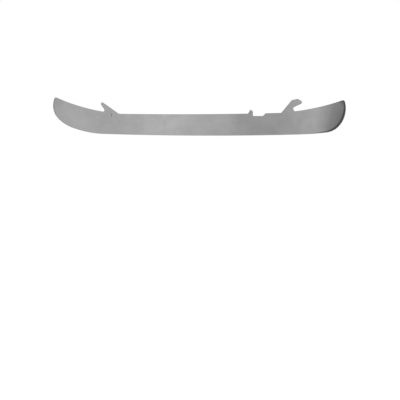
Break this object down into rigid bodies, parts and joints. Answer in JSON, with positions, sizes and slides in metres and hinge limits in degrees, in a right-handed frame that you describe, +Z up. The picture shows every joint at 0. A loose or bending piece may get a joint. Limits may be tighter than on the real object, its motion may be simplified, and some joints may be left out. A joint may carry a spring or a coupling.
{
  "type": "hockey skate blade",
  "caption": "Flat steel ice hockey skate blade with a rockered running edge, upswept toe and heel, and hooks and a latch notch on its top edge that hold it in a skate's blade holder.",
  "frame": {"origin": "on the seat (the top edge between the hooks), halfway along the blade and in the middle of its thickness", "axes": "+X towards the heel, +Y across the steel, +Z up into the blade holder"},
  "size_m": [0.272, 0.0028, 0.0355],
  "materials": {
    "steel": "satin ground stainless steel"
  },
  "bodies": {
    "root": {"runner": "steel"}
  },
  "joints": []
}
